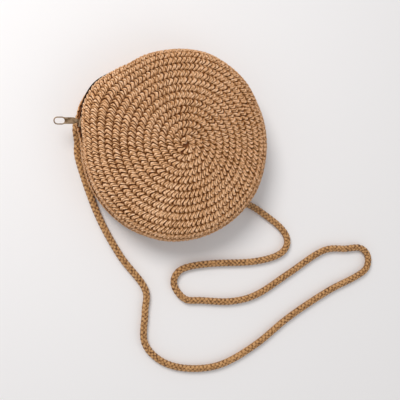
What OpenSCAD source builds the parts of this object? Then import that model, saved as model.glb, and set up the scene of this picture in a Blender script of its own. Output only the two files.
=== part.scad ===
// Round zipped bag of coiled straw braid on a long cord strap, lying on its back.
// Two dished shells of coiled braid face each other. A zip runs round the upper part of the rim
// and a plain woven band joins the shells below it. The strap goes out of the rear shell near
// each end of the zip. +Z is the front of the bag, +Y points to the middle of the zip, and the
// origin is the middle of the flat area that the bag lies on.

/* [Bag body] */
// Diameter over the rim
bag_d = 189; // [160:1:230]
// Thickness from the flat rear to the crown of the front
bag_t = 58; // [54:1:72]
// Rounding of each shell's rim, outside
rim_r = 17.5; // [16:0.5:19]
// Diameter of the flat area that the bag lies on
rest_d = 120; // [90:1:130]
// Thickness of the coiled braid
braid_t = 3.2; // [2:0.1:4]
// Thickness of the cloth lining
lining_t = 0.8; // [0.4:0.1:1.2]
// Slope of the front's crown where it meets the rim, in degrees
crown_deg = 9.4; // [4:0.1:12]
// Slope of the rear where it meets the rim, in degrees
rear_deg = 8; // [4:0.1:12]

/* [Zip] */
// Free width between the two shells' edges, where the zip shows
zip_gap = 8; // [7.8:0.1:11]
// End of the zip beside the parked slider, in degrees from +X
zip_end_left = 204; // [201:0.5:212]
// Other end of the zip, in degrees from +X
zip_end_right = -15; // [-24:0.5:-14]
// Where the slider is parked on the closed zip, in degrees from +X
slider_deg = 190; // [189:0.5:192]
// Width of each half of the zip's coil
coil_w = 1.9; // [1.6:0.1:2]
// Thickness of the coil
coil_t = 2.2; // [1.6:0.1:2.6]
// Width between the two halves of the coil, where their loops hook together
coil_gap = 1; // [0.9:0.1:1.2]
// Thickness of the zip tape
tape_t = 0.6; // [0.3:0.1:0.9]
// Width of each zip tape
tape_w = 10; // [7:0.5:11]
// Length of the metal stop at each end of the zip
stop_l = 3; // [2:0.5:5]
// Width of the slit where the opening part of the front folds
fold_slit = 0.3; // [0.2:0.1:0.8]

/* [Slider and pull tab] */
// Length of the slider along the zip
slider_l = 10; // [8:0.5:11]
// Thickness of the slider's top plate
plate_t = 1.6; // [1:0.1:2]
// Thickness of the slider's inner plate
inner_plate_t = 1.2; // [0.8:0.1:1.6]
// Thickness of the slider's two side flanges
flange_t = 0.8; // [0.5:0.1:0.9]
// Thickness of the slider's neck between the two halves of the coil
neck_t = 0.6; // [0.4:0.1:0.7]
// Length of the slider's neck along the zip
neck_l = 3; // [2:0.5:5]
// Height of the rivet above the top plate
rivet_h = 3.4; // [3:0.1:5]
// Diameter of the rivet that carries the pull tab
rivet_d = 1.6; // [1.2:0.1:2]
// Diameter of the rivet's heads
rivet_head_d = 2.6; // [2.2:0.1:3.4]
// Height of each rivet head
rivet_head_h = 0.4; // [0.3:0.1:0.8]
// Width of the two ears along the zip
ear_w = 3.6; // [3.2:0.1:4.4]
// Thickness of each ear
ear_t = 1; // [0.8:0.1:1.3]
// Length of the pull tab from its rivet to its outer end
tab_l = 21; // [18:0.5:28]
// Width of the pull tab's flat body
tab_w = 6.3; // [5:0.1:7]
// Thickness of the pull tab
tab_t = 1.5; // [1:0.1:2]
// Length of the ring at the tab's outer end
ring_l = 11.5; // [9:0.5:13]
// Width of that ring
ring_w = 7.6; // [7:0.1:9]
// Width of metal round the ring's hole
ring_rim = 1.1; // [1:0.1:2]
// Diameter of the tab's rounded end at the rivet
eye_d = 4.2; // [3.6:0.1:4.8]
// Angle of the tab off the radial line as it lies, in degrees
tab_rest_deg = 14; // [0:1:20]

/* [Bottom band] */
// Thickness of the woven band that joins the shells below the zip
band_t = 2.4; // [1.5:0.1:2.8]
// Width of each of the band's flanges inside the shells
band_flange_w = 8; // [5:0.5:12]

/* [Strap] */
// Diameter of the strap's round braided cord
strap_d = 7.2; // [6:0.1:8]
// Diameter of the knot at each end inside the bag
knot_d = 10; // [8:0.5:10.5]
// Length of strap inside the bag, from its hole to the middle of the knot
strap_tail_l = 20; // [18:0.5:22]
// Height of the strap's left hole above the resting plane
strap_left_z = 7; // [6.5:0.5:8]
// Height of the strap's right hole above the resting plane
strap_right_z = 12; // [11:0.5:13]

/* [Hidden] */
$fn = 96;

// Gap between layers of the same body
layer_gap = 0.1;
// Gap that moving pieces keep from what they pass
run_gap = 0.3;
// Radial play of the tab on its rivet
rivet_play = 0.05;
// Overrun of every cut
cut = 1;
// Steps of each rounded stretch of a shell's section
arc_steps = 7;

bag_r = bag_d / 2;
mid_z = bag_t / 2;
rear_edge_z = mid_z - zip_gap / 2;
front_edge_z = mid_z + zip_gap / 2;

// Section of the front: a shallow crown, then the rounded rim, then the edge at the zip
crown_end_r = bag_r - rim_r * (1 - sin(crown_deg));
crown_r = crown_end_r / sin(crown_deg);
crown_rise = crown_end_r * tan(crown_deg / 2);
front_rim_z = bag_t - crown_rise - rim_r * cos(crown_deg);

// Section of the rear: flat, then a soft upward turn, then the rounded rim and the edge
rest_r = rest_d / 2;
turn_end_r = bag_r - rim_r * (1 - sin(rear_deg));
turn_r = (turn_end_r - rest_r) / sin(rear_deg);
rear_rim_z = (turn_end_r - rest_r) * tan(rear_deg / 2) + rim_r * cos(rear_deg);

function arc(centre, r, a0, a1) =
  [for (i = [0:arc_steps]) let (a = a0 + (a1 - a0) * i / arc_steps)
    centre + r * [sin(a), cos(a)]];
function front_outline(inset) = concat(
  arc([0, bag_t - crown_r], crown_r - inset, 0, crown_deg),
  arc([bag_r - rim_r, front_rim_z], rim_r - inset, crown_deg, 90),
  [[bag_r - inset, 0]]);
function rear_outline(inset) = concat(
  [[0, inset]],
  arc([rest_r, turn_r], turn_r - inset, 180, 180 - rear_deg),
  arc([bag_r - rim_r, rear_rim_z], rim_r - inset, 180 - rear_deg, 90),
  [[bag_r - inset, bag_t]]);
function flip(list) = [for (i = [len(list) - 1:-1:0]) list[i]];

lining_inset = braid_t + tape_t + 2 * layer_gap;
// The lining stops short of the shells' edges, clear of the slider's inner plate
lining_back = 0.8;

// Radii of the zip's layers, from the shells' inner face inwards and outwards
tape_out_r = bag_r - braid_t - layer_gap;
tape_in_r = tape_out_r - tape_t;
coil_out_r = tape_out_r + coil_t;
slider_w = coil_gap + 2 * (coil_w + run_gap + flange_t);
plate_in_r = coil_out_r + run_gap;
plate_out_r = plate_in_r + plate_t;
inner_plate_out_r = tape_in_r - run_gap;
inner_plate_in_r = inner_plate_out_r - inner_plate_t;
// The tape's free edge lies under the middle of its half of the coil
tape_edge = coil_gap / 2 + coil_w / 2;

// The front folds along a straight line just beyond the parked slider
slider_half_deg = slider_l / bag_d * 180 / PI;
fold_deg = slider_deg - 180 - slider_half_deg - run_gap / bag_r * 180 / PI;
fold_y = -bag_r * sin(fold_deg);

rivet_r = plate_out_r + rivet_h;
tab_side = tab_t / 2 + run_gap;

// The strap leaves the rear shell's rounded rim at these angles, turned off the radial line so
// that it runs beside the rim on the left
strap_r = strap_d / 2;
strap_play = 0.2;
strap_left_deg = 180;
strap_right_deg = 346.5;
strap_left_turn = 62;
strap_right_turn = 0;
// It points this far below level as it comes out, and runs straight for this length
strap_dip_deg = 20;
strap_lead_l = 1.1 * strap_d;
function exit_r(z) = bag_r - rim_r + sqrt(rim_r * rim_r - pow(rear_rim_z - z, 2));
function strap_out(deg, turn) = [cos(deg + turn) * cos(strap_dip_deg),
  sin(deg + turn) * cos(strap_dip_deg), -sin(strap_dip_deg)];
function strap_hole_at(deg, z) = [exit_r(z) * cos(deg), exit_r(z) * sin(deg), z];
left_hole = strap_hole_at(strap_left_deg, strap_left_z);
right_hole = strap_hole_at(strap_right_deg, strap_right_z);
left_out = strap_out(strap_left_deg, strap_left_turn);
right_out = strap_out(strap_right_deg, strap_right_turn);

// Route of the strap's middle line from the left hole's lead to the right hole's, as shares of
// the bag's radius sideways and of the right hole's height above the lying strap
lie = strap_r;
strap_sides = 10;
strap_rings_a_leg = 2;
strap_route_shares = [
  [-1.005, -0.14, 0], [-0.985, -0.235, 0], [-0.92, -0.35, 0], [-0.825, -0.535, 0],
  [-0.435, -0.975, 0], [-0.045, -1.295, 0], [0.345, -1.53, 0], [0.45, -1.77, 0], [0.575, -2.08, 0],
  [0.835, -2.21, 0], [1.16, -2.185, 0], [1.5, -2.02, 0], [1.8, -1.68, 0], [2.06, -1.255, 0],
  [2.4, -0.81, 0], [2.64, -0.56, 0], [2.755, -0.41, 0], [2.755, -0.29, 0], [2.69, -0.21, 0],
  [2.58, -0.19, 0], [2.42, -0.265, 0], [2.155, -0.395, 0], [1.855, -0.795, 0], [1.59, -1.145, 0],
  [1.33, -1.325, 0], [1, -1.435, 0], [0.82, -1.485, 0], [0.655, -1.4, 0], [0.615, -1.28, 0],
  [0.69, -1.16, 0], [0.945, -1.015, 0], [1.405, -0.815, 0], [1.665, -0.625, 0], [1.7, -0.46, 0],
  [1.56, -0.34, 0.01], [1.21, -0.255, 0.14]];
strap_route = [for (p = strap_route_shares)
  [p[0] * bag_r, p[1] * bag_r, lie + p[2] * (strap_right_z - lie)]];

module upper_half() {
  translate([-bag_d, fold_y + fold_slit / 2, -cut])
    cube([2 * bag_d, bag_d, bag_t + 2 * cut]);
}

module lower_half() {
  translate([-bag_d, fold_y - fold_slit / 2 - bag_d, -cut])
    cube([2 * bag_d, bag_d, bag_t + 2 * cut]);
}

module front_section(inset, thickness, end_z) {
  intersection() {
    polygon(concat(front_outline(inset), flip(front_outline(inset + thickness))));
    translate([0, end_z])
      square([bag_d, bag_t]);
  }
}

module rear_section(inset, thickness, end_z) {
  intersection() {
    polygon(concat(rear_outline(inset), flip(rear_outline(inset + thickness))));
    translate([0, end_z - bag_t])
      square([bag_d, bag_t]);
  }
}

module front_shell(inset, thickness, back) {
  rotate_extrude()
    front_section(inset, thickness, front_edge_z + back);
}

module rear_shell(inset, thickness, back) {
  rotate_extrude()
    rear_section(inset, thickness, rear_edge_z - back);
}

// Cloth that follows the inside of the braid, to a depth from its edge, between two angles
module front_cloth(edge_z, depth, a0, a1) {
  rotate([0, 0, a0])
    rotate_extrude(angle = a1 - a0)
      intersection() {
        front_section(braid_t + layer_gap, tape_t, edge_z);
        translate([rest_r, edge_z])
          square([bag_r, depth]);
      }
}

module rear_cloth(edge_z, depth, a0, a1) {
  rotate([0, 0, a0])
    rotate_extrude(angle = a1 - a0)
      intersection() {
        rear_section(braid_t + layer_gap, tape_t, edge_z);
        translate([rest_r, edge_z - depth])
          square([bag_r, depth]);
      }
}

// A strip bent round the rim, between two radii, two heights and two angles
module rim_strip(r0, r1, z0, z1, a0, a1) {
  rotate([0, 0, a0])
    rotate_extrude(angle = a1 - a0)
      translate([r0, z0])
        square([r1 - r0, z1 - z0]);
}

module at_strap_hole(hole, deg) {
  translate(hole)
    rotate([0, 90 + strap_dip_deg, deg])
      children();
}

module strap_holes() {
  for (end = [[left_hole, strap_left_deg + strap_left_turn],
      [right_hole, strap_right_deg + strap_right_turn]])
    at_strap_hole(end[0], end[1])
      translate([0, 0, -strap_tail_l])
        cylinder(r = strap_r + strap_play, h = strap_tail_l + strap_d);
}

module rear_panel() {
  color([0.66, 0.48, 0.34])
    difference() {
      rear_shell(0, braid_t, 0);
      strap_holes();
    }
}

module apron_panel() {
  color([0.66, 0.48, 0.34])
    intersection() {
      front_shell(0, braid_t, 0);
      lower_half();
    }
}

module cover_panel() {
  color([0.68, 0.50, 0.36])
    intersection() {
      front_shell(0, braid_t, 0);
      upper_half();
    }
}

module rear_lining() {
  color([0.80, 0.70, 0.56])
    difference() {
      rear_shell(lining_inset, lining_t, lining_back);
      strap_holes();
    }
}

module apron_lining() {
  color([0.80, 0.70, 0.56])
    intersection() {
      front_shell(lining_inset, lining_t, lining_back);
      lower_half();
    }
}

module cover_lining() {
  color([0.80, 0.70, 0.56])
    intersection() {
      front_shell(lining_inset, lining_t, lining_back);
      upper_half();
    }
}

module front_tape(a0, a1) {
  front_cloth(mid_z + tape_edge, tape_w, a0, a1);
}

module front_coil(a0, a1) {
  rim_strip(tape_out_r, coil_out_r, mid_z + coil_gap / 2, mid_z + coil_gap / 2 + coil_w, a0, a1);
}

module rear_zip_tape() {
  color([0.22, 0.12, 0.08])
    rear_cloth(mid_z - tape_edge, tape_w, zip_end_right, zip_end_left);
}

module apron_tape_left() {
  color([0.22, 0.12, 0.08])
    intersection() {
      front_tape(180, zip_end_left);
      lower_half();
    }
}

module apron_tape_right() {
  color([0.22, 0.12, 0.08])
    intersection() {
      front_tape(zip_end_right, 0);
      lower_half();
    }
}

module cover_zip_tape() {
  color([0.22, 0.12, 0.08])
    intersection() {
      front_tape(zip_end_right, zip_end_left);
      upper_half();
    }
}

module rear_zip_coil() {
  color([0.16, 0.09, 0.06])
    rim_strip(tape_out_r, coil_out_r, mid_z - coil_gap / 2 - coil_w, mid_z - coil_gap / 2,
      zip_end_right, zip_end_left);
}

module apron_coil_left() {
  color([0.16, 0.09, 0.06])
    intersection() {
      front_coil(180, zip_end_left);
      lower_half();
    }
}

module apron_coil_right() {
  color([0.16, 0.09, 0.06])
    intersection() {
      front_coil(zip_end_right, 0);
      lower_half();
    }
}

module cover_zip_coil() {
  color([0.16, 0.09, 0.06])
    intersection() {
      front_coil(zip_end_right, zip_end_left);
      upper_half();
    }
}

// The stops close the zip at its ends, so each lies just beyond the coil
module zip_stop(a0, a1) {
  color([0.50, 0.43, 0.31])
    rim_strip(tape_in_r, coil_out_r, mid_z - tape_edge - coil_w / 2, mid_z + tape_edge + coil_w / 2,
      a0, a1);
}

stop_deg = stop_l / bag_r * 180 / PI;

module zip_stop_left() {
  zip_stop(zip_end_left, zip_end_left + stop_deg);
}

module zip_stop_right() {
  zip_stop(zip_end_right - stop_deg, zip_end_right);
}

// The band shows between the shells' edges, and its flanges are sewn inside them
module bottom_band() {
  a0 = zip_end_left + stop_deg;
  a1 = 360 + zip_end_right - stop_deg;
  show_z = zip_gap / 2 - layer_gap;
  flange_z = zip_gap / 2 + band_flange_w;
  color([0.72, 0.54, 0.40]) {
    front_cloth(mid_z, flange_z, a0, a1);
    rear_cloth(mid_z, flange_z, a0, a1);
    rim_strip(tape_out_r, tape_out_r + band_t, mid_z - show_z, mid_z + show_z, a0, a1);
  }
}

// Everything on the slider is placed from the middle of its length
module at_slider() {
  rotate([0, 0, slider_deg])
    translate([0, 0, mid_z])
      children();
}

module slider_strip(r0, r1, z0, z1, length) {
  half_deg = length / bag_d * 180 / PI;
  rim_strip(r0, r1, z0, z1, -half_deg, half_deg);
}

module slider_ear(z0) {
  translate([0, 0, z0])
    difference() {
      union() {
        translate([plate_in_r + plate_t / 2, -ear_w / 2, 0])
          cube([rivet_r - plate_in_r - plate_t / 2, ear_w, ear_t]);
        translate([rivet_r, 0, 0])
          cylinder(d = ear_w, h = ear_t);
      }
      translate([rivet_r, 0, -cut])
        cylinder(d = rivet_d, h = ear_t + 2 * cut);
    }
}

module zip_slider() {
  half_w = slider_w / 2;
  flange_in_r = tape_out_r + run_gap;
  color([0.50, 0.43, 0.31])
    at_slider() {
      slider_strip(plate_in_r, plate_out_r, -half_w, half_w, slider_l);
      slider_strip(inner_plate_in_r, inner_plate_out_r, -half_w, half_w, slider_l);
      slider_strip(inner_plate_out_r - inner_plate_t / 2, plate_in_r + plate_t / 2,
        -neck_t / 2, neck_t / 2, neck_l);
      slider_strip(flange_in_r, plate_in_r + plate_t / 2, -half_w, flange_t - half_w, slider_l);
      slider_strip(flange_in_r, plate_in_r + plate_t / 2, half_w - flange_t, half_w, slider_l);
      slider_ear(tab_side);
      slider_ear(-tab_side - ear_t);
    }
}

module tab_rivet() {
  half_h = tab_side + ear_t;
  color([0.62, 0.55, 0.42])
    at_slider()
      translate([rivet_r, 0, 0]) {
        translate([0, 0, -half_h])
          cylinder(d = rivet_d, h = 2 * half_h);
        translate([0, 0, half_h])
          cylinder(d = rivet_head_d, h = rivet_head_h);
        translate([0, 0, -half_h - rivet_head_h])
          cylinder(d = rivet_head_d, h = rivet_head_h);
      }
}

// A slot outline with round ends, with its outer end at the given distance
module slot_shape(end_x, l, w) {
  translate([end_x - w / 2, 0])
    circle(d = w);
  translate([end_x - l + w / 2, 0])
    circle(d = w);
  translate([end_x - l + w / 2, -w / 2])
    square([l - w, w]);
}

module pull_tab() {
  shoulder_x = eye_d / 2;
  body_end_x = tab_l - ring_l / 2;
  color([0.50, 0.43, 0.31])
    at_slider()
      translate([rivet_r, 0, -tab_t / 2])
        rotate([0, 0, tab_rest_deg])
          linear_extrude(tab_t)
            difference() {
              union() {
                circle(d = eye_d);
                polygon([[0, -eye_d / 2], [shoulder_x, -tab_w / 2], [body_end_x, -tab_w / 2],
                  [body_end_x, tab_w / 2], [shoulder_x, tab_w / 2], [0, eye_d / 2]]);
                slot_shape(tab_l, ring_l, ring_w);
              }
              circle(d = rivet_d + 2 * rivet_play);
              slot_shape(tab_l - ring_rim, ring_l - 2 * ring_rim, ring_w - 2 * ring_rim);
            }
}

// Each end of the strap goes through the rear shell and its lining to a knot inside
module strap_knot(hole, deg) {
  color([0.70, 0.47, 0.24])
    at_strap_hole(hole, deg)
      translate([0, 0, -strap_tail_l]) {
        cylinder(r = strap_r, h = strap_tail_l);
        sphere(d = knot_d);
      }
}

module strap_knot_left() {
  strap_knot(left_hole, strap_left_deg + strap_left_turn);
}

module strap_knot_right() {
  strap_knot(right_hole, strap_right_deg + strap_right_turn);
}

// The middle line is a smooth curve through the route's points
function smooth(a, b, c, d, t) = 0.5 * (2 * b + (c - a) * t + (2 * a - 5 * b + 4 * c - d) * t * t
  + (3 * b - a - 3 * c + d) * t * t * t);
function leg(p, i, t) = let (last = len(p) - 1)
  smooth(i == 0 ? 2 * p[0] - p[1] : p[i - 1], p[i], p[i + 1],
    i + 2 > last ? 2 * p[last] - p[last - 1] : p[i + 2], t);
function middle_line(p, n) = concat(
  [for (i = [0:len(p) - 2]) for (k = [0:n - 1]) leg(p, i, k / n)],
  [p[len(p) - 1]]);
function unit(v) = v / norm(v);
// The tube's two ends stand square to the holes that they come out of
function heading(line, i) =
  i == 0 ? left_out : i == len(line) - 1 ? -right_out
  : unit(line[i + 1] - line[i - 1]);
function ring(line, i, r, sides) =
  let (along = heading(line, i), side = unit(cross(along, [0, 0, 1])), up = cross(side, along))
  [for (k = [0:sides - 1]) let (a = 360 * k / sides)
    line[i] + r * (sin(a) * side - cos(a) * up)];

module strap() {
  route = concat([left_hole, left_hole + strap_lead_l * left_out], strap_route,
    [right_hole + strap_lead_l * right_out, right_hole]);
  line = middle_line(route, strap_rings_a_leg);
  count = len(line);
  sides = strap_sides;
  points = [for (i = [0:count - 1]) each ring(line, i, strap_r, sides)];
  skin = [for (i = [0:count - 2]) for (k = [0:sides - 1])
    let (a = i * sides + k, b = i * sides + (k + 1) % sides)
    each [[a, b, b + sides], [a, b + sides, a + sides]]];
  start_cap = [[for (k = [sides - 1:-1:0]) k]];
  end_cap = [[for (k = [0:sides - 1]) (count - 1) * sides + k]];
  color([0.70, 0.47, 0.24])
    polyhedron(points = points, faces = concat(start_cap, skin, end_cap));
}

rear_panel();
apron_panel();
cover_panel();
rear_lining();
apron_lining();
cover_lining();
rear_zip_tape();
apron_tape_left();
apron_tape_right();
cover_zip_tape();
rear_zip_coil();
apron_coil_left();
apron_coil_right();
cover_zip_coil();
zip_stop_left();
zip_stop_right();
bottom_band();
zip_slider();
tab_rivet();
pull_tab();
strap_knot_left();
strap_knot_right();
strap();
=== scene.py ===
import math

import bmesh
import bpy
import numpy as np
from mathutils import Matrix, Vector


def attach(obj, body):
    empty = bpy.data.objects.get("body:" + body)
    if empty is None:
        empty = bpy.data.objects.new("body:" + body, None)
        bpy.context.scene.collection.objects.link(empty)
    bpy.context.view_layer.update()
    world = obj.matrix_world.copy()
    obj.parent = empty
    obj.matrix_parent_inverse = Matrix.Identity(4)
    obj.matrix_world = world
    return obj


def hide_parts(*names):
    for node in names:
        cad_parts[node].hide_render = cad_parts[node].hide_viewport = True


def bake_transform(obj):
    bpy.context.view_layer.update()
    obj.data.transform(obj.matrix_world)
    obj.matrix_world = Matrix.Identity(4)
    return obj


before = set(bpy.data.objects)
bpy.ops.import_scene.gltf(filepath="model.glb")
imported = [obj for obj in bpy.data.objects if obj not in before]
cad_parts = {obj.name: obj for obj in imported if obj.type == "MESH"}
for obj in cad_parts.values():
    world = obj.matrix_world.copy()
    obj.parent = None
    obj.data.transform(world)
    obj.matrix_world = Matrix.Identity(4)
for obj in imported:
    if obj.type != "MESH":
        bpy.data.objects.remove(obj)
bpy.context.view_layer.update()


# Camera
# The view looks down on the lying bag from its left and a little from below, with the bag's zip
# at the picture's left edge and the whole strap in view.
camera_place = (-0.1187, -0.0864, 0.6605)
camera_right = Vector((0.8906, 0.3740, 0.2587))
camera_up = Vector((-0.3793, 0.9248, -0.0314))
camera_back = Vector((-0.2510, -0.0701, 0.9654))
camera_lens = bpy.data.cameras.new("camera")
camera_lens.lens = 58.5
camera_lens.sensor_width = 36
camera = bpy.data.objects.new("camera", camera_lens)
camera.matrix_world = (Matrix.Translation(camera_place)
                       @ Matrix((camera_right, camera_up, camera_back)).transposed().to_4x4())
bpy.context.scene.collection.objects.link(camera)
bpy.context.scene.camera = camera
bpy.context.scene.view_settings.view_transform = "Standard"


# Strap
# A round cord, braided from soft paper yarn and dyed golden brown. It comes out of the back shell
# below the slider, lies on the table in two long bights, and goes back in on the right.
MM = 0.001
bag_radius = 94.5
strap_width = 7.2
strap_lie = strap_width / 2
strap_left_hole = (-90.02, 0, 7)
strap_right_hole = (90.595, -21.75, 12)
strap_left_lead = (-93.514, -6.571, 4.291)
strap_right_lead = (97.832, -23.487, 9.291)
# The route on the table, in bag radii, and the share of the way up to the right hole
strap_route = [
    (-1.005, -0.14, 0), (-0.985, -0.235, 0), (-0.92, -0.35, 0), (-0.825, -0.535, 0),
    (-0.435, -0.975, 0), (-0.045, -1.295, 0), (0.345, -1.53, 0), (0.45, -1.77, 0),
    (0.575, -2.08, 0), (0.835, -2.21, 0), (1.16, -2.185, 0), (1.5, -2.02, 0), (1.8, -1.68, 0),
    (2.06, -1.255, 0), (2.4, -0.81, 0), (2.64, -0.56, 0), (2.755, -0.41, 0), (2.755, -0.29, 0),
    (2.69, -0.21, 0), (2.58, -0.19, 0), (2.42, -0.265, 0), (2.155, -0.395, 0), (1.855, -0.795, 0),
    (1.59, -1.145, 0), (1.33, -1.325, 0), (1, -1.435, 0), (0.82, -1.485, 0), (0.655, -1.4, 0),
    (0.615, -1.28, 0), (0.69, -1.16, 0), (0.945, -1.015, 0), (1.405, -0.815, 0),
    (1.665, -0.625, 0), (1.7, -0.46, 0), (1.56, -0.34, 0.01), (1.21, -0.255, 0.14)]
strap_points = [strap_left_hole, strap_left_lead]
strap_points += [(x * bag_radius, y * bag_radius,
                  strap_lie + lift * (strap_right_hole[2] - strap_lie))
                 for x, y, lift in strap_route]
strap_points += [strap_right_lead, strap_right_hole]
# The braid: strands each way, the length of a stitch, how high a strand's back is, how steeply it
# falls to its sides, how far it rises over the strand that it crosses, and the depth of the lay
rope_strands = 4
rope_stitch = 4.6
rope_crown = 0.52
rope_bow = 0.92
rope_cross = 0.42
rope_lay = 0.84
rope_sides = 36
rope_step = 0.6


def smooth_line(points, step):
    """Points every step millimetres along the smooth curve through the given points."""
    leg_points = 40
    p = np.array(points, float)
    p = np.vstack([2 * p[0] - p[1], p, 2 * p[-1] - p[-2]])
    t = np.linspace(0, 1, leg_points, endpoint=False)[:, None]
    legs = []
    for a, b, c, d in zip(p[:-3], p[1:-2], p[2:-1], p[3:]):
        legs.append(0.5 * (2 * b + (c - a) * t + (2 * a - 5 * b + 4 * c - d) * t ** 2
                           + (3 * b - a - 3 * c + d) * t ** 3))
    line = np.vstack(legs + [p[-2][None]])
    run = np.r_[0, np.cumsum(np.linalg.norm(np.diff(line, axis=0), axis=1))]
    at = np.linspace(0, run[-1], int(round(run[-1] / step)) + 1)
    return np.stack([np.interp(at, run, line[:, k]) for k in range(3)], 1), at


def headings(line):
    """The direction of a line at each of its points."""
    along = np.gradient(line, axis=0)
    return along / np.linalg.norm(along, axis=1)[:, None]


def tube_points(line, along, across, turn, radius):
    """A ring of points round each point of a line, at these angles and distances from it."""
    side = np.cross(along, across)
    side /= np.linalg.norm(side, axis=1)[:, None]
    up = np.cross(side, along)
    return line[:, None] + radius[..., None] * (np.cos(turn)[..., None] * side[:, None]
                                                + np.sin(turn)[..., None] * up[:, None])


def tube_faces(rings, sides):
    """Faces of a tube with closed ends, whose points lie ring after ring."""
    i = np.arange(rings - 1)[:, None] * sides
    k = np.arange(sides)[None]
    n = (k + 1) % sides
    faces = np.stack([i + k, i + n, i + sides + n, i + sides + k], -1).reshape(-1, 4).tolist()
    faces.append(list(range(sides))[::-1])
    faces.append(list(range((rings - 1) * sides, rings * sides)))
    return faces


def add_piece(name, points, faces, marks, material):
    """A mesh object from points in millimetres, with one named number per point in marks."""
    mesh = bpy.data.meshes.new(name)
    mesh.from_pydata((points.reshape(-1, 3) * MM).tolist(), [], faces)
    for mark, values in marks.items():
        layer = mesh.attributes.new(mark, "FLOAT", "POINT")
        layer.data.foreach_set("value", np.asarray(values, np.float32).ravel())
    mesh.materials.append(material)
    mesh.polygons.foreach_set("use_smooth", [True] * len(mesh.polygons))
    mesh.update()
    piece = bpy.data.objects.new(name, mesh)
    bpy.context.scene.collection.objects.link(piece)
    return piece


class Finish:
    """A material in the making: its shader, and the patterns that colour and raise it."""

    def __init__(self, name, color, roughness, **settings):
        self.material = bpy.data.materials.new(name)
        self.material.use_nodes = True
        self.shader = self.material.node_tree.nodes["Principled BSDF"]
        self.shader.inputs["Base Color"].default_value = (*color, 1)
        self.shader.inputs["Roughness"].default_value = roughness
        for key, value in settings.items():
            self.shader.inputs[key.replace("_", " ")].default_value = value

    def add(self, kind, **settings):
        """A node, with its own settings and the numbers on its sockets."""
        node = self.material.node_tree.nodes.new("ShaderNode" + kind)
        for key, value in settings.items():
            if hasattr(node, key):
                setattr(node, key, value)
            else:
                node.inputs[key.replace("_", " ")].default_value = value
        return node

    def join(self, source, target):
        """Leads one socket into another."""
        self.material.node_tree.links.new(source, target)

    def mark(self, name):
        """A number that the mesh carries at each of its points."""
        return self.add("Attribute", attribute_name=name).outputs["Fac"]

    def pattern(self, kind, **settings):
        """Noise or waves that run right through the piece."""
        node = self.add("Tex" + kind, **settings)
        self.join(self.add("TexCoord").outputs["Object"], node.inputs["Vector"])
        return node.outputs["Fac"]

    def reckon(self, operation, *values):
        """A Math node on sockets and plain numbers."""
        node = self.add("Math", operation=operation)
        for socket, value in zip(node.inputs, values):
            if isinstance(value, (int, float)):
                socket.default_value = value
            else:
                self.join(value, socket)
        return node.outputs[0]

    def ribs(self, source, rate):
        """Even ribs across a socket, closer together as rate grows."""
        return self.reckon("SINE", self.reckon("MULTIPLY", source, rate))

    def mix(self, *parts, shift=0.0):
        """The sum of some sockets, each times its share, and a shift."""
        total = shift
        for source, share in parts:
            total = self.reckon("ADD", self.reckon("MULTIPLY", source, share), total)
        return total

    def color(self, source, *steps):
        """The colours along a socket, from pairs of place and colour."""
        ramp = self.add("ValToRGB")
        elements = ramp.color_ramp.elements
        while len(elements) < len(steps):
            elements.new(0.5)
        for element, (place, color) in zip(elements, steps):
            element.position = place
            element.color = (*color, 1)
        self.join(source, ramp.inputs[0])
        self.join(ramp.outputs[0], self.shader.inputs["Base Color"])

    def raise_by(self, source, strength, distance):
        """Fine bumps, too small for the mesh."""
        bump = self.add("Bump", Strength=strength, Distance=distance)
        self.join(source, bump.inputs["Height"])
        self.join(bump.outputs["Normal"], self.shader.inputs["Normal"])


def rope_material():
    finish = Finish("golden_rope", (0.42, 0.23, 0.09), 0.62, Specular_IOR_Level=0.35,
                    Sheen_Weight=0.12, Sheen_Roughness=0.5)
    speckle = finish.pattern("Noise", Scale=420.0, Detail=3.0)
    patches = finish.pattern("Noise", Scale=60.0, Detail=2.0)
    threads = finish.ribs(finish.mark("across"), 25.0)
    # The colour is darkest where the braid's surface lies low between its strands: painted shade in
    # the grooves.
    shade = finish.mix((finish.mark("groove_shade"), 1.05), (threads, 0.06), (speckle, 1.9),
                       (patches, 0.35), (finish.mark("tone"), 0.3), shift=-1.26)
    finish.color(shade, (0.0, (0.045, 0.014, 0.003)), (0.3, (0.15, 0.058, 0.013)),
                 (0.62, (0.35, 0.156, 0.043)), (1.0, (0.64, 0.35, 0.14)))
    finish.raise_by(finish.reckon("ADD", threads, speckle), strength=0.5, distance=0.0002)
    return finish.material


rope_finish = rope_material()


def braided_tube(name, line, run, width):
    """A round braid: two sets of strands wind opposite ways and pass over and under each other."""
    turn = np.linspace(0, 2 * math.pi, rope_sides, endpoint=False)[None]
    around = rope_strands * turn / (2 * math.pi)
    a = around + run[:, None] / rope_stitch
    b = around - run[:, None] / rope_stitch
    i, j = np.floor(a), np.floor(b)
    over_a = np.sin(math.pi * b) * np.where(i % 2, -1, 1)
    over_b = -np.sin(math.pi * a) * np.where(j % 2, -1, 1)
    back_a = np.sqrt(1 - rope_bow * (2 * (a - i) - 1) ** 2)
    back_b = np.sqrt(1 - rope_bow * (2 * (b - j) - 1) ** 2)
    height_a = rope_cross * over_a + rope_crown * back_a
    height_b = rope_cross * over_b + rope_crown * back_b
    height = np.maximum(height_a, height_b)
    points = tube_points(line, headings(line), [0, 0, 1.0], turn, width / 2 - rope_lay + height)
    # Of these marks, the first is painted shade: the lower the braid's surface lies between
    # strands, the darker it is coloured.
    marks = {"groove_shade": 1 + (height - rope_cross - rope_crown) / rope_lay,
             "across": np.where(height_a > height_b, a - i, b - j),
             "tone": np.where(height_a > height_b, 1.0, 0.0)}
    return add_piece(name, points, tube_faces(len(line), rope_sides), marks, rope_finish)


strap_line, strap_run = smooth_line(strap_points, rope_step)
strap_rope = braided_tube("strap_rope", strap_line, strap_run, strap_width)
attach(strap_rope, "bag")
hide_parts("strap")


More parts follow.
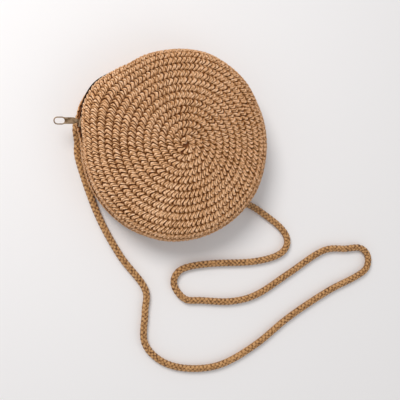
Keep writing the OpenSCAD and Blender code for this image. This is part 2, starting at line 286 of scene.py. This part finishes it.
# Back shell
# One long flat braid of paper straw, coiled from the middle outwards and sewn edge to edge into a
# dish. Its stitches are pairs of straw strands that lean together along the braid.
bag_depth = 58
middle_height = bag_depth / 2
zip_gap = 8
rim_round = 17.5
rest_radius = 60
crown_slope = math.radians(9.4)
back_slope = math.radians(8)
braid_thick = 3.2
backing_depth = 1.7
row_width = 7.0
stitch_length = 4.44
back_middle = (-2.0, 3.0)


def arc_rows(centre, radius, first, last, count=60):
    """Radius, height and outward normal along an arc of a shell's section."""
    t = np.linspace(first, last, count)
    return np.stack([centre[0] + radius * np.sin(t), centre[1] + radius * np.cos(t),
                     np.sin(t), np.cos(t)], 1)


def line_rows(start, end, normal, count=30):
    """Radius, height and outward normal along a straight stretch of a shell's section."""
    t = np.linspace(0, 1, count)[:, None]
    start, end = np.array(start, float), np.array(end, float)
    return np.hstack([start + (end - start) * t, np.tile(normal, (count, 1))])


def shell_outline(*stretches):
    """Run, radius, height and outward normal along a shell's section, from its middle outwards."""
    least_step = 1e-6
    rows = np.vstack(stretches)
    step = np.linalg.norm(np.diff(rows[:, :2], axis=0), axis=1)
    rows = rows[np.r_[True, step > least_step]]
    run = np.r_[0, np.cumsum(np.linalg.norm(np.diff(rows[:, :2], axis=0), axis=1))]
    return np.hstack([run[:, None], rows])


back_turn_end = bag_radius - rim_round * (1 - math.sin(back_slope))
back_turn_round = (back_turn_end - rest_radius) / math.sin(back_slope)
back_rim_height = ((back_turn_end - rest_radius) * math.tan(back_slope / 2)
                   + rim_round * math.cos(back_slope))
back_edge = middle_height - zip_gap / 2
back_outline = shell_outline(
    line_rows((0, 0), (rest_radius, 0), (0, -1)),
    arc_rows((rest_radius, back_turn_round), back_turn_round, math.pi, math.pi - back_slope),
    arc_rows((bag_radius - rim_round, back_rim_height), rim_round,
             math.pi - back_slope, math.pi / 2),
    line_rows((bag_radius, back_rim_height), (bag_radius, back_edge), (1, 0)))

# How the rim has worn out of round: angles round the bag in degrees, and how far the rim stands
# out there in hundredths of its radius, for the front shell, the seam and the back shell
top_wear = [(52, -0.2), (63, 1.8), (95, 1.8), (108, -0.4), (120, -2.4), (134, -3.2)]
front_wear = [(12, -0.2), *top_wear,
              (143, -4.8), (149, -3.2), (155, -1.6), (160, 0.5), (165, 2.8), (170, 3.5),
              (178, 3.6), (182, 3.1), (186, 1.1), (189, -0.3), (192, -0.9), (195, -2.2),
              (198, -3.9), (201, -4.8), (204, -4.2), (207, -3.9), (220, -4.2), (232, -3.6),
              (250, -2.3), (268, -0.5), (284, 1.2), (352, 1.2)]
seam_wear = [(12, 0), *top_wear,
             (143, -4.4), (150, -2.0), (156, 0.6), (160, 3.0), (165, 5.8), (170, 6.5),
             (176, 6.4), (181, 5.6), (185, 2.6), (188, 0), (193, 0), (196, -0.8), (199, -2.6),
             (204, -4.8), (222, -4.6), (240, -2.8), (261, -0.5), (284, 1.2), (335, 0.8),
             (346, 0.1)]
back_wear = [(12, -0.2), *top_wear,
             (143, -4.6), (150, -2.4), (157, 0.0), (162, 2.6), (167, 4.0), (173, 4.4),
             (178, 5.6), (183, 5.6), (187, 4.8), (192, 2.9), (198, -2.0), (202, -4.2),
             (220, -3.7), (226, -2.6), (242, -2.2), (261, -0.5), (284, 1.2), (352, 1.2)]
# The wear is evened out over these degrees, and it fades in from the middle of the shells to
# their rim, from the table upwards, and from the seam to each shell
wear_even = 3
wear_radius = 55
wear_radius_fade = 38
wear_height = 3
wear_height_fade = 15
seam_half = 2.5
seam_fade = 1.5


def eased(value):
    """0 up to 0 and 1 from 1 on, with a soft rise between."""
    value = np.clip(value, 0, 1)
    return value * value * (3 - 2 * value)


def worn_share(angle, wear):
    """How far the rim stands out at an angle, as a share of its radius."""
    angles, hundredths = np.array(wear).T
    near = [np.interp(angle + turn, angles, hundredths, period=360)
            for turn in (-wear_even, 0, wear_even)]
    return sum(near) / (100 * len(near))


def worn_shape(points):
    """The used bag isn't quite round: its rim stands out above the slider and is drawn in below."""
    x, y, z = points[..., 0], points[..., 1], points[..., 2]
    angle = np.degrees(np.arctan2(y, x))
    to_front = eased((z - (middle_height + seam_half)) / seam_fade)
    to_back = eased((middle_height - seam_half - z) / seam_fade)
    stretch = (worn_share(angle, front_wear) * to_front + worn_share(angle, back_wear) * to_back
               + worn_share(angle, seam_wear) * (1 - to_front - to_back))
    factor = 1 + (stretch * eased((np.hypot(x, y) - wear_radius) / wear_radius_fade)
                  * eased((z - wear_height) / wear_height_fade))
    return np.stack([x * factor, y * factor, z], -1)


def straw_material():
    finish = Finish("paper_straw", (0.5, 0.3, 0.17), 0.55, Specular_IOR_Level=0.14)
    fibre = finish.pattern("Noise", Scale=560.0, Detail=2.0)
    patches = finish.pattern("Noise", Scale=28.0, Detail=3.0)
    ridges = finish.ribs(finish.mark("across"), 4.7)
    # The colour is darkest at the strands' sides and in the gaps between strands and rows, where
    # their surface lies low: painted shade.
    shade = finish.mix((finish.mark("groove_shade"), 0.5), (finish.mark("tone"), 0.13), (fibre, 1.05),
                       (patches, 0.22), (ridges, 0.05), shift=-0.44)
    finish.color(shade, (0.0, (0.06, 0.013, 0.001)), (0.28, (0.23, 0.07, 0.009)),
                 (0.52, (0.55, 0.262, 0.1)), (0.78, (0.85, 0.5, 0.272)), (1.0, (0.96, 0.65, 0.42)))
    finish.raise_by(finish.reckon("ADD", ridges, fibre), strength=0.6, distance=0.00025)
    return finish.material


# The backing stands for the straw under the strands but is coloured far darker than straw: painted
# shade for the holes between strands and rows.
def shade_backing_material():
    finish = Finish("straw_depths_painted_shade", (0.10, 0.042, 0.017), 0.85)
    grain = finish.pattern("Noise", Scale=500.0, Detail=2.0)
    finish.color(grain, (0.3, (0.09, 0.022, 0.002)), (0.75, (0.24, 0.07, 0.009)))
    finish.raise_by(grain, strength=0.5, distance=0.0003)
    return finish.material


straw_finish = straw_material()
shade_backing_finish = shade_backing_material()

# Places across a row, from its inner edge to its outer, and what a straw strand does there: its
# width and its lift, how far it runs on along the braid, and how far its pair stands apart
strand_places = np.array([-1.2, -1.0, -0.66, -0.12, 0.44, 0.78, 0.98])
strand_swell = np.array([0.5, 0.68, 1.02, 1.14, 1.08, 0.92, 0.66])
strand_lift = np.array([-1.24, -0.93, -0.55, -0.46, -0.48, -0.82, -1.44])
strand_forward = np.array([-0.3, 0.0, 0.42, 0.86, 1.0, 0.7, 0.36])
strand_apart = np.array([0.4, 0.56, 0.95, 0.94, 0.8, 0.68, 0.54])
# Section of a strand, as shares of its half width and half thickness
strand_across = np.array([1.0, 0.6, -0.6, -1.0, -0.5, 0.5])
strand_up = np.array([-0.2, 0.9, 0.9, -0.2, -1.0, -1.0])
strand_reach = 3.0
strand_half_width = 0.86
strand_half_thick = 0.62
# Of a pair, the strand on top is wider and lies higher
top_swell = 0.34
top_lift = 0.22
# The braider's uneven hand: shares of a stitch's length at random and in slow waves along the
# coil, shares of a strand's width and reach, then millimetres along the braid, across it and up
uneven_stitch = 0.04
wave_stitch = 0.05
wave_rate = 1.7
uneven_swell = 0.05
uneven_reach = 0.08
uneven_forward = 0.06
uneven_run = 0.09
uneven_lift = 0.06
# The coil's start is a small twist: the run of its inner edge at angle 0, its first angle in
# radians, the least run and radius of a stitch, and how far out and how high the strands' inner
# ends stay up
coil_start = 2.64
coil_first_turn = -4.0
least_run = 1.6
least_radius = 2.2
start_reach = 0.5
start_lift = -0.5
# The last row narrows to the shell's edge: its least width, the least share of a whole stitch,
# and how far the strands stop short of the shell's middle and edge
least_row = 1.6
least_full = 0.35
middle_gap = 0.05
edge_gap = 0.15
# Heights between which a strand's colour turns from painted shade to its full light tone
shade_height = -1.05
shade_range = 1.1


def coil_stitches(outline, start_angle, way, seed):
    """Where each stitch of the coiled braid lies: run to the row's middle, row width and angle."""
    draw = np.random.default_rng(seed)
    stitches = []
    turn = coil_first_turn
    while True:
        inner = coil_start + row_width * turn / (2 * math.pi)
        width = min(row_width, outline[-1, 0] - inner)
        if width < least_row:
            return np.array(stitches)
        middle = max(inner + width / 2, least_run)
        stitches.append((middle, width, start_angle + way * turn))
        reach = max(float(np.interp(middle, outline[:, 0], outline[:, 1])), least_radius)
        share = draw.uniform(1 - uneven_stitch, 1 + uneven_stitch)
        turn += stitch_length * (share + wave_stitch * math.sin(wave_rate * turn)) / reach


def on_shell(outline, middle, run, angle):
    """Point and outward normal on a shell whose coil starts off its middle."""
    pull = 1 - (run / outline[-1, 0]) ** 2
    x = run * np.cos(angle) + middle[0] * pull
    y = run * np.sin(angle) + middle[1] * pull
    s, a = np.hypot(x, y), np.arctan2(y, x)
    r, z, out, rise = (np.interp(s, outline[:, 0], outline[:, k]) for k in (1, 2, 3, 4))
    point = np.stack([r * np.cos(a), r * np.sin(a), z], -1)
    normal = np.stack([out * np.cos(a), out * np.sin(a), rise], -1)
    return point, normal


def lay_braid(name, outline, middle, stitches, way, seed):
    """A pair of bent strands for each stitch, across the row from its inner edge to its outer."""
    draw = np.random.default_rng(seed)
    stitches = np.repeat(stitches, 2, axis=0)
    row_run, width, row_angle = (column[:, None, None] for column in stitches.T)
    each = (len(stitches), 1, 1)
    place, swell, lift, reach, spread = (
        shares[None, :, None]
        for shares in (strand_places, strand_swell, strand_lift, strand_forward, strand_apart))
    radius = np.maximum(np.interp(row_run, outline[:, 0], outline[:, 1]), least_radius)
    full = np.clip(width / row_width, least_full, 1)
    partner = np.where(np.arange(len(stitches)) % 2, 1, -1)[:, None, None]
    over = partner * np.sin(math.pi * np.clip(place, -1, 1))
    swell = swell * (1 + top_swell * over) * draw.normal(1, uneven_swell, each)
    forward = strand_reach * full * reach * draw.normal(1, uneven_reach, each)
    forward = forward + partner * stitch_length / 4 * spread + draw.normal(0, uneven_forward, each)
    forward = forward + strand_half_width * swell * strand_across
    turn = forward / radius
    run = (row_run + row_width * turn / (2 * math.pi) + place * width / 2
           + draw.normal(0, uneven_run, each))
    run = np.clip(run, middle_gap, outline[-1, 0] - edge_gap)
    point, normal = on_shell(outline, middle, run, row_angle + way * turn)
    lift = np.where((row_run < width / 2 + start_reach) & (place < 0), start_lift, lift)
    thick = strand_half_thick * np.sqrt(swell) * (1 + full) / 2
    height = lift + top_lift * over + draw.normal(0, uneven_lift, each) + thick * strand_up
    # Of these marks, the first is painted shade: the lower a strand's surface lies, at its sides
    # and between rows, the darker it is coloured.
    marks = {"groove_shade": np.clip((height - shade_height) / shade_range, 0, 1),
             "across": np.broadcast_to(strand_across, height.shape),
             "tone": np.broadcast_to(draw.uniform(0, 1, each), height.shape)}
    rings, sides = len(strand_places), len(strand_across)
    one = tube_faces(rings, sides)
    faces = [[n * rings * sides + v for v in face] for n in range(len(stitches)) for face in one]
    return add_piece(name, worn_shape(point + normal * height[..., None]), faces, marks,
                     straw_finish)


def close_poles(piece):
    """Joins the points that meet at the middle of a shell and turns its faces outwards."""
    knit = bmesh.new()
    knit.from_mesh(piece.data)
    bmesh.ops.remove_doubles(knit, verts=knit.verts, dist=1e-6)
    bmesh.ops.recalc_face_normals(knit, faces=knit.faces)
    knit.to_mesh(piece.data)
    knit.free()


def swept_piece(name, section, material, first=0.0, last=360.0, steps=180):
    """A closed section of radius and height, swept round the bag between two angles."""
    r, z = np.array(section, float).T
    sides = len(section)
    closed = last - first >= 360
    angles = np.radians(np.linspace(first, last, steps, endpoint=not closed))[:, None]
    points = np.stack([r * np.cos(angles), r * np.sin(angles),
                       np.broadcast_to(z, (steps, sides))], -1)
    if closed:
        i = np.arange(steps)[:, None]
        k = np.arange(sides)[None]
        n, j = (k + 1) % sides, (i + 1) % steps
        faces = np.stack([i * sides + k, i * sides + n, j * sides + n, j * sides + k],
                         -1).reshape(-1, 4).tolist()
    else:
        faces = tube_faces(steps, sides)
    run = np.radians(np.linspace(first, last, steps))[:, None] * bag_radius
    marks = {"along": np.broadcast_to(run, (steps, sides)),
             "rise": np.broadcast_to(z, (steps, sides))}
    piece = add_piece(name, worn_shape(points), faces, marks, material)
    close_poles(piece)
    return piece


def layer_section(outline, outside, inside, first=0.0, last=None, points=44):
    """The section of one layer of a shell, between two depths below its outer surface."""
    last = outline[-1, 0] if last is None else last
    s = np.linspace(first, last, points)
    r, z, out, rise = (np.interp(s, outline[:, 0], outline[:, k]) for k in (1, 2, 3, 4))
    outer, inner = (np.stack([np.maximum(r - depth * out, 0), z - depth * rise], 1)
                    for depth in (outside, inside))
    return np.vstack([outer, inner[::-1]])


back_stitches = coil_stitches(back_outline, start_angle=math.radians(60), way=1, seed=31)
back_braid = lay_braid("back_braid", back_outline, back_middle, back_stitches, way=1, seed=3)
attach(back_braid, "bag")
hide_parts("rear_panel")
# Under the braid lies a dark backing, whose colour is painted shade in the gaps between strands.
back_backing = swept_piece("back_backing", layer_section(back_outline, backing_depth, braid_thick),
                           shade_backing_finish)
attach(back_backing, "bag")


# Front shell
# The same braid, coiled clockwise into a shallow dome. On the real bag its upper part opens along
# the zip, bending across a straight fold just beyond the slider; here it stays closed.
front_crown_end = bag_radius - rim_round * (1 - math.sin(crown_slope))
front_crown_round = front_crown_end / math.sin(crown_slope)
front_rim_height = (bag_depth - front_crown_end * math.tan(crown_slope / 2)
                    - rim_round * math.cos(crown_slope))
front_edge = middle_height + zip_gap / 2
front_outline = shell_outline(
    arc_rows((0, bag_depth - front_crown_round), front_crown_round, 0, crown_slope),
    arc_rows((bag_radius - rim_round, front_rim_height), rim_round, crown_slope, math.pi / 2),
    line_rows((bag_radius, front_rim_height), (bag_radius, front_edge), (1, 0)))
front_middle = (4.8, 2.7)


def fold_with_cover(piece):
    """Bakes the piece's placement into its points."""
    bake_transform(piece)


front_stitches = coil_stitches(front_outline, start_angle=math.radians(22.3), way=-1, seed=32)
front_braid = lay_braid("front_braid", front_outline, front_middle, front_stitches, way=-1, seed=5)
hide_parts("cover_panel", "apron_panel")
# Under the braid lies a dark backing, whose colour is painted shade in the gaps between strands.
front_backing = swept_piece("front_backing",
                            layer_section(front_outline, backing_depth, braid_thick),
                            shade_backing_finish)
for piece in (front_braid, front_backing):
    fold_with_cover(piece)


# Lining
# Unbleached plain cotton, cut and sewn to the shape of the shells and caught to them along the
# zip and the band. It lies close against the braid.
lining_depth = 4.0
lining_thick = 0.8
lining_back = 0.8


def cotton_material():
    finish = Finish("plain_cotton", (0.6, 0.46, 0.3), 0.9, Sheen_Weight=0.15)
    warp = finish.pattern("Wave", Scale=380.0, Distortion=0.4)
    weft = finish.pattern("Wave", bands_direction="Y", Scale=380.0, Distortion=0.4)
    weave = finish.reckon("MULTIPLY", warp, weft)
    creases = finish.pattern("Noise", Scale=35.0, Detail=4.0)
    # The colour follows the creases' height and is darker in their hollows: painted shade in the
    # creases.
    finish.color(finish.mix((weave, 0.25), (creases, 1.0)),
                 (0.3, (0.44, 0.33, 0.21)), (0.9, (0.66, 0.53, 0.37)))
    finish.raise_by(finish.mix((creases, 4.0), (weave, 1.0)), strength=0.4, distance=0.0004)
    return finish.material


def lining_section(outline):
    """The cloth follows the inside of the shell and stops short of its edge."""
    return layer_section(outline, lining_depth, lining_depth + lining_thick,
                         last=outline[-1, 0] - lining_back)


cotton_finish = cotton_material()
back_lining = swept_piece("back_lining_cloth", lining_section(back_outline), cotton_finish)
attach(back_lining, "bag")
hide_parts("rear_lining")
front_lining = swept_piece("front_lining_cloth", lining_section(front_outline), cotton_finish)
fold_with_cover(front_lining)
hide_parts("cover_lining", "apron_lining")


# Bottom band
# A plain strip woven from the same straw, sewn in between the two shells below the zip. It lies a
# little below their surface.
layer_gap = 0.1
tape_outer = bag_radius - braid_thick - layer_gap
tape_thick = 0.6
zip_left_end = 204.0
zip_right_end = -15.0
stop_long = 3.0
stop_span = math.degrees(stop_long / bag_radius)
band_first = zip_left_end + stop_span
band_last = 360 + zip_right_end - stop_span
band_proud = 2.4
band_inner = tape_outer - tape_thick
band_outer = tape_outer + band_proud
band_half = zip_gap / 2 - layer_gap
band_crown = 0.7
band_points = 9
band_back_tuck = 8
band_front_tuck = 5


def band_material():
    finish = Finish("woven_band", (0.5, 0.32, 0.2), 0.7)
    grain = finish.pattern("Noise", Scale=600.0, Detail=3.0)
    patches = finish.pattern("Noise", Scale=50.0, Detail=2.0)
    weave = finish.reckon("MULTIPLY", finish.ribs(finish.mark("along"), 6.0),
                          finish.ribs(finish.mark("rise"), 6.0))
    finish.color(finish.mix((weave, 0.06), (grain, 0.5), (patches, 0.5)),
                 (0.2, (0.34, 0.165, 0.075)), (0.5, (0.62, 0.35, 0.185)),
                 (0.8, (0.8, 0.52, 0.31)))
    finish.raise_by(weave, strength=0.7, distance=0.0003)
    return finish.material


band_finish = band_material()
band_section = [(band_inner, middle_height - band_back_tuck),
                (tape_outer, middle_height - band_back_tuck),
                (tape_outer, middle_height - band_half)]
for t in np.linspace(0, math.pi, band_points):
    band_section.append((band_outer - band_crown + band_crown * math.sin(t),
                         middle_height - band_half * math.cos(t)))
band_section += [(tape_outer, middle_height + band_half),
                 (tape_outer, middle_height + band_front_tuck),
                 (band_inner, middle_height + band_front_tuck)]
bottom_band = swept_piece("woven_bottom_band", band_section, band_finish,
                          band_first, band_last, steps=140)
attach(bottom_band, "bag")
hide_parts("bottom_band")


# Zip
# A nylon coil zip in dark brown. Each tape is sewn inside a shell's edge, and each half of the
# coil is one wire wound into loops that hook between the other half's.
coil_gap = 1.0
coil_wide = 1.9
coil_thick = 2.2
coil_pitch = 1.5
coil_offset = 1.35
loop_half_height = 1.3
loop_points = 10
wire_round = 0.36
wire_sides = 6
tape_edge = coil_gap / 2 + coil_wide / 2
tape_wide = 9


def tape_material():
    finish = Finish("zip_tape", (0.03, 0.014, 0.008), 0.85, Specular_IOR_Level=0.12)
    slant = finish.reckon("ADD", finish.mark("along"), finish.mark("rise"))
    rib = finish.ribs(slant, 7.0)
    finish.color(finish.reckon("MULTIPLY", rib, 0.5),
                 (0.0, (0.012, 0.004, 0.002)), (0.5, (0.034, 0.012, 0.005)))
    finish.raise_by(rib, strength=0.6, distance=0.0002)
    return finish.material


def coil_material():
    finish = Finish("nylon_coil", (0.028, 0.013, 0.008), 0.7, Specular_IOR_Level=0.12)
    wear = finish.pattern("Noise", Scale=250.0, Detail=2.0)
    finish.color(wear, (0.35, (0.013, 0.003, 0.001)), (0.75, (0.036, 0.01, 0.003)))
    return finish.material


tape_finish = tape_material()
coil_finish = coil_material()


def zip_tape(name, outline, edge_height):
    """The tape follows the shell's inside and ends in a straight edge beside the coil."""
    depth = braid_thick + layer_gap
    layer = layer_section(outline, depth, depth + tape_thick,
                          first=outline[-1, 0] - tape_wide, points=12)
    half = len(layer) // 2
    layer[half - 1, 1] = layer[half, 1] = edge_height
    return swept_piece(name, layer, tape_finish, zip_right_end, zip_left_end, steps=150)


def wind_coil(name, height, start):
    """One wire wound into an oval coil round the rim."""
    turns = math.radians(zip_left_end - zip_right_end) * tape_outer / coil_pitch
    count = int(turns * loop_points)
    t = np.arange(count) / loop_points
    angle = math.radians(zip_right_end) + (t + start) * coil_pitch / tape_outer
    swing = 2 * math.pi * t
    r = tape_outer + coil_thick / 2 + (coil_thick / 2 - wire_round) * np.sin(swing)
    z = height + (loop_half_height - wire_round) * np.cos(swing)
    line = np.stack([r * np.cos(angle), r * np.sin(angle), z], -1)
    out = np.stack([np.cos(angle), np.sin(angle), np.zeros(count)], -1)
    around = np.linspace(0, 2 * math.pi, wire_sides, endpoint=False)[None]
    points = tube_points(line, headings(line), out, around, np.full((1, 1), wire_round))
    return add_piece(name, worn_shape(points), tube_faces(count, wire_sides), {}, coil_finish)


back_tape = zip_tape("back_zip_tape", back_outline, middle_height - tape_edge)
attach(back_tape, "bag")
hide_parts("rear_zip_tape")
front_tape = zip_tape("front_zip_tape", front_outline, middle_height + tape_edge)
fold_with_cover(front_tape)
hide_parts("cover_zip_tape", "apron_tape_left", "apron_tape_right")
back_coil = wind_coil("back_zip_coil", middle_height - coil_offset, start=0.0)
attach(back_coil, "bag")
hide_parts("rear_zip_coil")
front_coil = wind_coil("front_zip_coil", middle_height + coil_offset, start=0.5)
fold_with_cover(front_coil)
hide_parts("cover_zip_coil", "apron_coil_left", "apron_coil_right")


# Zip stops, slider and pull tab
# Pressed and cast metal in antique bronze, rubbed bright on its edges. The stops are bent round
# both tapes, and the pull tab turns on a rivet between the slider's two ears.
stop_points = 16
stop_square = 0.5
stop_centre = tape_outer + (coil_thick - tape_thick) / 2
stop_half_thick = (coil_thick + tape_thick) / 2
stop_half_wide = tape_edge + coil_wide / 2


def bronze_material():
    finish = Finish("antique_bronze", (0.25, 0.19, 0.11), 0.34, Metallic=0.85)
    patina = finish.pattern("Noise", Scale=320.0, Detail=4.0)
    scratches = finish.pattern("Noise", Scale=1400.0, Detail=2.0)
    edge = finish.add("NewGeometry").outputs["Pointiness"]
    finish.color(finish.mix((edge, 2.0), (patina, 0.5), shift=-0.62),
                 (0.3, (0.09, 0.048, 0.021)), (0.65, (0.21, 0.124, 0.061)),
                 (0.95, (0.58, 0.43, 0.29)))
    rough = finish.add("MapRange", To_Min=0.28, To_Max=0.5)
    finish.join(patina, rough.inputs["Value"])
    finish.join(rough.outputs["Result"], finish.shader.inputs["Roughness"])
    finish.raise_by(scratches, strength=0.12, distance=0.0001)
    return finish.material


def squared(value):
    """Moves a circle's coordinate out towards that of a square with round corners."""
    return math.copysign(abs(value) ** stop_square, value)


bronze_finish = bronze_material()
stop_section = []
for t in np.linspace(0, 2 * math.pi, stop_points, endpoint=False):
    stop_section.append((stop_centre + squared(math.cos(t)) * stop_half_thick,
                         middle_height + squared(math.sin(t)) * stop_half_wide))
for name, node, first, last in (
        ("left_zip_stop", "zip_stop_left", zip_left_end, zip_left_end + stop_span),
        ("right_zip_stop", "zip_stop_right", zip_right_end - stop_span, zip_right_end)):
    stop = swept_piece(name, stop_section, bronze_finish, first, last, steps=8)
    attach(stop, "bag")
    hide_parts(node)

for node in ("zip_slider", "tab_rivet", "pull_tab"):
    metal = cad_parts[node]
    metal.data.materials.clear()
    metal.data.materials.append(bronze_finish)
    weld = metal.modifiers.new("one_skin", "WELD")
    weld.merge_threshold = 1e-5
    ease = metal.modifiers.new("eased_edges", "BEVEL")
    ease.width = 0.0003
    ease.segments = 2
    ease.limit_method = "ANGLE"
    ease.angle_limit = math.radians(40)
    ease.harden_normals = False


# Knots
# Each end of the strap is bound with thread inside the bag, so that it can't pull out through its
# hole in the back shell.
end_long = 24.6
end_radius = 3.0
end_tip_radius = 1.5
end_steps = 120
end_sides = 24
end_fibres = 6
knot_place = 20
knot_half_long = 4.9
knot_radius = 4.7
knot_least_radius = 3.1
knot_least_bulge = 0.02
thread_depth = 0.3
thread_pitch = 1.6
# The knot's colour is painted shade in the grooves between the thread's wraps: darkest at a
# groove's bottom, lighter towards each wrap's crown.
thread_shade = 0.3
thread_light = 1.6


def strap_end(name, hole, lead):
    """A straight end of the strap, inwards from its hole, with the bound knot near its tip."""
    hole, lead = np.array(hole), np.array(lead)
    outwards = (lead - hole) / np.linalg.norm(lead - hole)
    t = np.linspace(0, end_long, end_steps)
    line = hole - outwards * t[:, None]
    turn = np.linspace(0, 2 * math.pi, end_sides, endpoint=False)[None]
    around = turn / (2 * math.pi)
    bulge = np.clip(1 - ((t - knot_place) / knot_half_long) ** 2, 0, 1)[:, None]
    threads = thread_depth * np.abs(np.sin(math.pi * (t[:, None] / thread_pitch - around)))
    radius = np.where(bulge > knot_least_bulge,
                      np.maximum(knot_least_radius, knot_radius * np.sqrt(bulge)) + threads,
                      end_radius + threads / 2)
    radius[-1] = end_tip_radius
    points = tube_points(line, np.tile(outwards, (end_steps, 1)), [0, 0, 1.0], turn, radius)
    marks = {"groove_shade": thread_shade + threads * thread_light,
             "across": np.broadcast_to(around * end_fibres % 1, radius.shape)}
    return add_piece(name, points, tube_faces(end_steps, end_sides), marks, rope_finish)


for name, node, hole, lead in (
        ("left_strap_end", "strap_knot_left", strap_left_hole, strap_left_lead),
        ("right_strap_end", "strap_knot_right", strap_right_hole, strap_right_lead)):
    end = strap_end(name, hole, lead)
    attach(end, "bag")
    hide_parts(node)


# Floor and light
# A plain pale table top, which the lowest strands of the bag's back touch, under soft daylight
# from the upper left, as in a bright room.
floor_reach = 3.0
floor_height = -0.0005
lamp_aim = Vector((0.05, -0.05, 0.0))
floor_corners = [(x * floor_reach, y * floor_reach, floor_height)
                 for x, y in ((-1, -1), (1, -1), (1, 1), (-1, 1))]
floor_mesh = bpy.data.meshes.new("table_top")
floor_mesh.from_pydata(floor_corners, [], [(0, 1, 2, 3)])
floor_mesh.materials.append(Finish("pale_table", (0.9, 0.875, 0.865), 0.6).material)
floor = bpy.data.objects.new("table_top", floor_mesh)
bpy.context.scene.collection.objects.link(floor)

world = bpy.data.worlds.new("daylight")
world.use_nodes = True
sky = world.node_tree.nodes["Background"]
sky.inputs["Color"].default_value = (0.97, 0.98, 1.0, 1)
sky.inputs["Strength"].default_value = 0.47
bpy.context.scene.world = world

for name, place, size, power in (("window", (-0.75, 0.35, 1.1), 0.6, 12.0),
                                 ("bounce", (0.9, -0.3, 0.8), 0.8, 1.2)):
    lamp_light = bpy.data.lights.new(name, "AREA")
    lamp_light.shape = "DISK"
    lamp_light.size = size
    lamp_light.energy = power
    lamp = bpy.data.objects.new(name, lamp_light)
    lamp.location = place
    lamp.rotation_euler = (lamp_aim - Vector(place)).to_track_quat("-Z", "Y").to_euler()
    bpy.context.scene.collection.objects.link(lamp)
